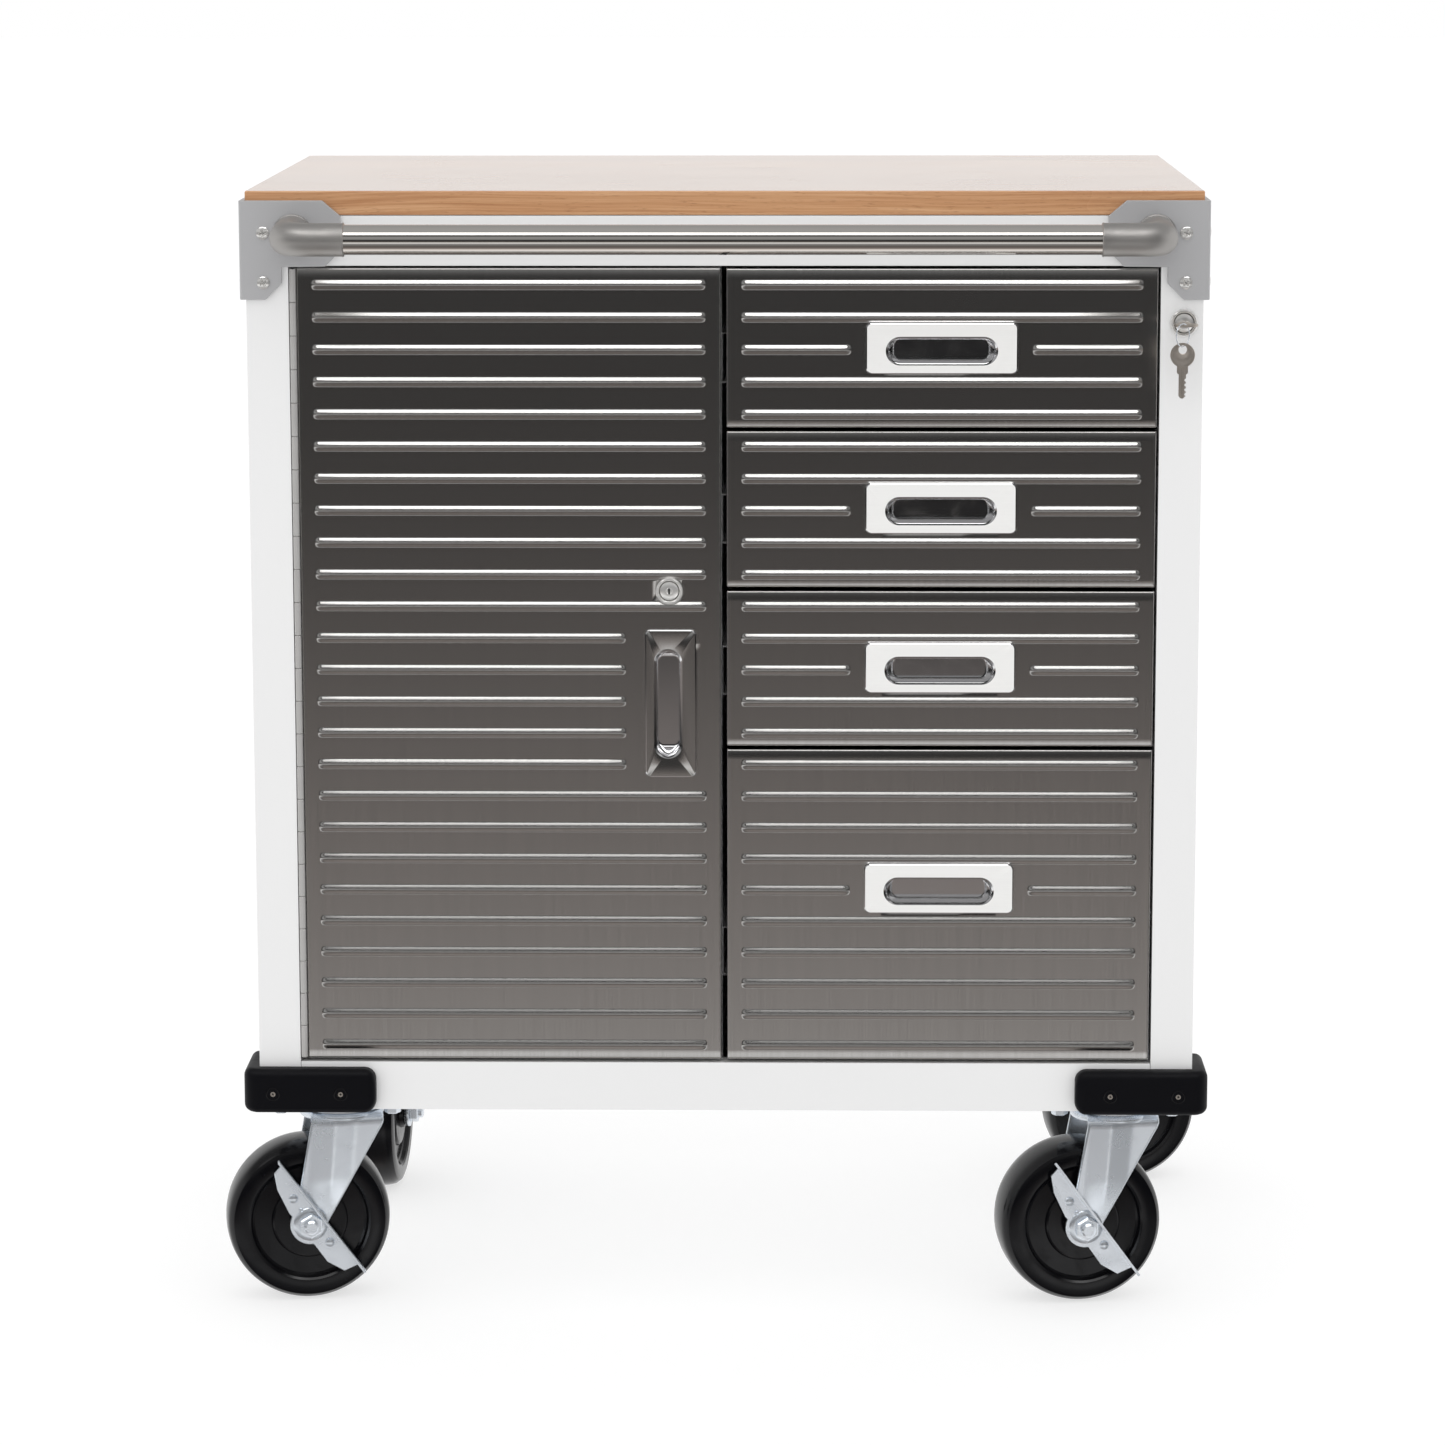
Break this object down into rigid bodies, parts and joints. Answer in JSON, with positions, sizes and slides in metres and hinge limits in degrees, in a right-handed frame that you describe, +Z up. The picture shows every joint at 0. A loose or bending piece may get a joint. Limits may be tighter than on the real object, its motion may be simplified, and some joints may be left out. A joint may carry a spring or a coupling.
{
  "type": "rolling tool chest",
  "caption": "Steel tool cabinet on swivel casters with a wooden worktop, a push bar, a ribbed door and ribbed drawers.",
  "frame": {"origin": "on the floor, at the middle of the whole chest's bounding box", "axes": "+Z up, -Y out of the front with the door and drawers, +X to the right seen from the front"},
  "size_m": [0.783, 0.541, 0.863],
  "materials": {
    "white_paint": "semi-gloss powder coat",
    "stainless": "brushed vertically",
    "chrome": "polished and fine brushed",
    "zinc": "bright zinc plate",
    "pewter": "satin casting",
    "bracket_silver": "silver powder coat",
    "beech": "clear lacquer",
    "black_rubber": "matt",
    "black_wheel": "glossy hard rubber",
    "key_nickel": "worn nickel",
    "hinge_steel": "bright steel"
  },
  "bodies": {
    "cabinet": {"side_left": "white_paint", "side_right": "white_paint", "back_panel": "white_paint", "bottom_pan": "white_paint", "top_pan": "white_paint", "divider": "white_paint", "shelf": "white_paint", "slide_frame_right": "zinc", "worktop": "beech", "corner_bracket_left": "bracket_silver", "corner_bracket_right": "bracket_silver", "bar_elbow_left": "pewter", "bar_elbow_right": "pewter", "push_bar": "chrome", "bumper_front_left": "black_rubber", "bumper_front_right": "black_rubber", "bumper_rear_left": "black_rubber", "bumper_rear_right": "black_rubber", "caster_plate_front_left": "zinc", "caster_plate_front_right": "zinc", "caster_plate_rear_left": "zinc", "caster_plate_rear_right": "zinc", "hinge_leaf_frame": "hinge_steel", "drawer_lock_body": "chrome"},
    "door": {"door_skin": "stainless", "door_liner": "white_paint", "hinge_leaf_door": "hinge_steel", "door_handle": "chrome", "door_lock_body": "chrome"},
    "door_lock": {"door_lock_plug": "chrome"},
    "drawer_1": {"drawer_1_front": "stainless", "drawer_1_box": "white_paint", "drawer_1_handle": "chrome"},
    "drawer_2": {"drawer_2_front": "stainless", "drawer_2_box": "white_paint", "drawer_2_handle": "chrome"},
    "drawer_3": {"drawer_3_front": "stainless", "drawer_3_box": "white_paint", "drawer_3_handle": "chrome"},
    "drawer_4": {"drawer_4_front": "stainless", "drawer_4_box": "white_paint", "drawer_4_handle": "chrome"},
    "drawer_lock": {"drawer_lock_plug": "key_nickel"},
    "lock_rod": {"lock_rod": "zinc"},
    "key_ring": {"key_ring": "zinc"},
    "spare_key": {"spare_key": "key_nickel"},
    "swivel_front_left": {"caster_fork_front_left": "zinc", "caster_axle_front_left": "zinc"},
    "wheel_front_left": {"caster_wheel_front_left": "black_wheel"},
    "swivel_front_right": {"caster_fork_front_right": "zinc", "caster_axle_front_right": "zinc"},
    "wheel_front_right": {"caster_wheel_front_right": "black_wheel"},
    "swivel_rear_left": {"caster_fork_rear_left": "zinc", "caster_axle_rear_left": "zinc"},
    "wheel_rear_left": {"caster_wheel_rear_left": "black_wheel"},
    "swivel_rear_right": {"caster_fork_rear_right": "zinc", "caster_axle_rear_right": "zinc"},
    "wheel_rear_right": {"caster_wheel_rear_right": "black_wheel"},
    "brake_left": {"brake_lever_left": "zinc"},
    "brake_right": {"brake_lever_right": "zinc"}
  },
  "joints": [
    {"name": "door_swing", "type": "hinge", "parent": "cabinet", "child": "door", "pos_m": [-0.321, -0.19728, 0.504], "axis": [0, 0, -1], "range_deg": [0, 120]},
    {"name": "door_lock_turn", "type": "hinge", "parent": "door", "child": "door_lock", "pos_m": [-0.0414, -0.19828, 0.5637], "axis": [0, -1, 0], "range_deg": [0, 90]},
    {"name": "drawer_1_slide", "type": "slide", "parent": "cabinet", "child": "drawer_1", "axis": [0, -1, 0], "range_m": [0, 0.3]},
    {"name": "drawer_2_slide", "type": "slide", "parent": "cabinet", "child": "drawer_2", "axis": [0, -1, 0], "range_m": [0, 0.3]},
    {"name": "drawer_3_slide", "type": "slide", "parent": "cabinet", "child": "drawer_3", "axis": [0, -1, 0], "range_m": [0, 0.3]},
    {"name": "drawer_4_slide", "type": "slide", "parent": "cabinet", "child": "drawer_4", "axis": [0, -1, 0], "range_m": [0, 0.3]},
    {"name": "drawer_lock_turn", "type": "hinge", "parent": "cabinet", "child": "drawer_lock", "pos_m": [0.3412, -0.19828, 0.7651], "axis": [0, -1, 0], "range_deg": [0, 90]},
    {"name": "lock_rod_lift", "type": "slide", "parent": "cabinet", "child": "lock_rod", "axis": [0, 0, 1], "range_m": [0, 0.008]},
    {"name": "key_ring_swing", "type": "hinge", "parent": "drawer_lock", "child": "key_ring", "pos_m": [0.33847, -0.22332, 0.7663], "axis": [-0.6211, -0.7837, 0], "range_deg": [-5, 20]},
    {"name": "spare_key_swing", "type": "hinge", "parent": "key_ring", "child": "spare_key", "pos_m": [0.33847, -0.22332, 0.7498], "axis": [0, -1, 0], "range_deg": [-10, 35]},
    {"name": "swivel_front_left", "type": "hinge", "parent": "cabinet", "child": "swivel_front_left", "pos_m": [-0.2995, -0.13628, 0.15], "axis": [0, 0, 1], "continuous": true},
    {"name": "wheel_spin_front_left", "type": "hinge", "parent": "swivel_front_left", "child": "wheel_front_left", "pos_m": [-0.32658, -0.14105, 0.0635], "axis": [-0.1736, 0.9848, 0], "continuous": true},
    {"name": "brake_left_press", "type": "hinge", "parent": "swivel_front_left", "child": "brake_left", "pos_m": [-0.32658, -0.14105, 0.0635], "axis": [0.1736, -0.9848, 0], "range_deg": [0, 25]},
    {"name": "swivel_front_right", "type": "hinge", "parent": "cabinet", "child": "swivel_front_right", "pos_m": [0.2995, -0.13628, 0.15], "axis": [0, 0, 1], "continuous": true},
    {"name": "wheel_spin_front_right", "type": "hinge", "parent": "swivel_front_right", "child": "wheel_front_right", "pos_m": [0.27242, -0.14105, 0.0635], "axis": [-0.1736, 0.9848, 0], "continuous": true},
    {"name": "brake_right_press", "type": "hinge", "parent": "swivel_front_right", "child": "brake_right", "pos_m": [0.27242, -0.14105, 0.0635], "axis": [0.1736, -0.9848, 0], "range_deg": [0, 25]},
    {"name": "swivel_rear_left", "type": "hinge", "parent": "cabinet", "child": "swivel_rear_left", "pos_m": [-0.2995, 0.19673, 0.15], "axis": [0, 0, 1], "continuous": true},
    {"name": "wheel_spin_rear_left", "type": "hinge", "parent": "swivel_rear_left", "child": "wheel_rear_left", "pos_m": [-0.30142, 0.16929, 0.0635], "axis": [-0.9976, 0.0698, 0], "continuous": true},
    {"name": "swivel_rear_right", "type": "hinge", "parent": "cabinet", "child": "swivel_rear_right", "pos_m": [0.2995, 0.19673, 0.15], "axis": [0, 0, 1], "continuous": true},
    {"name": "wheel_spin_rear_right", "type": "hinge", "parent": "swivel_rear_right", "child": "wheel_rear_right", "pos_m": [0.32658, 0.2015, 0.0635], "axis": [0.1736, -0.9848, 0], "continuous": true}
  ],
  "couplings": [
    {"joint": "drawer_lock_turn", "follows": "lock_rod_lift", "rad_per_m": 196.35}
  ]
}
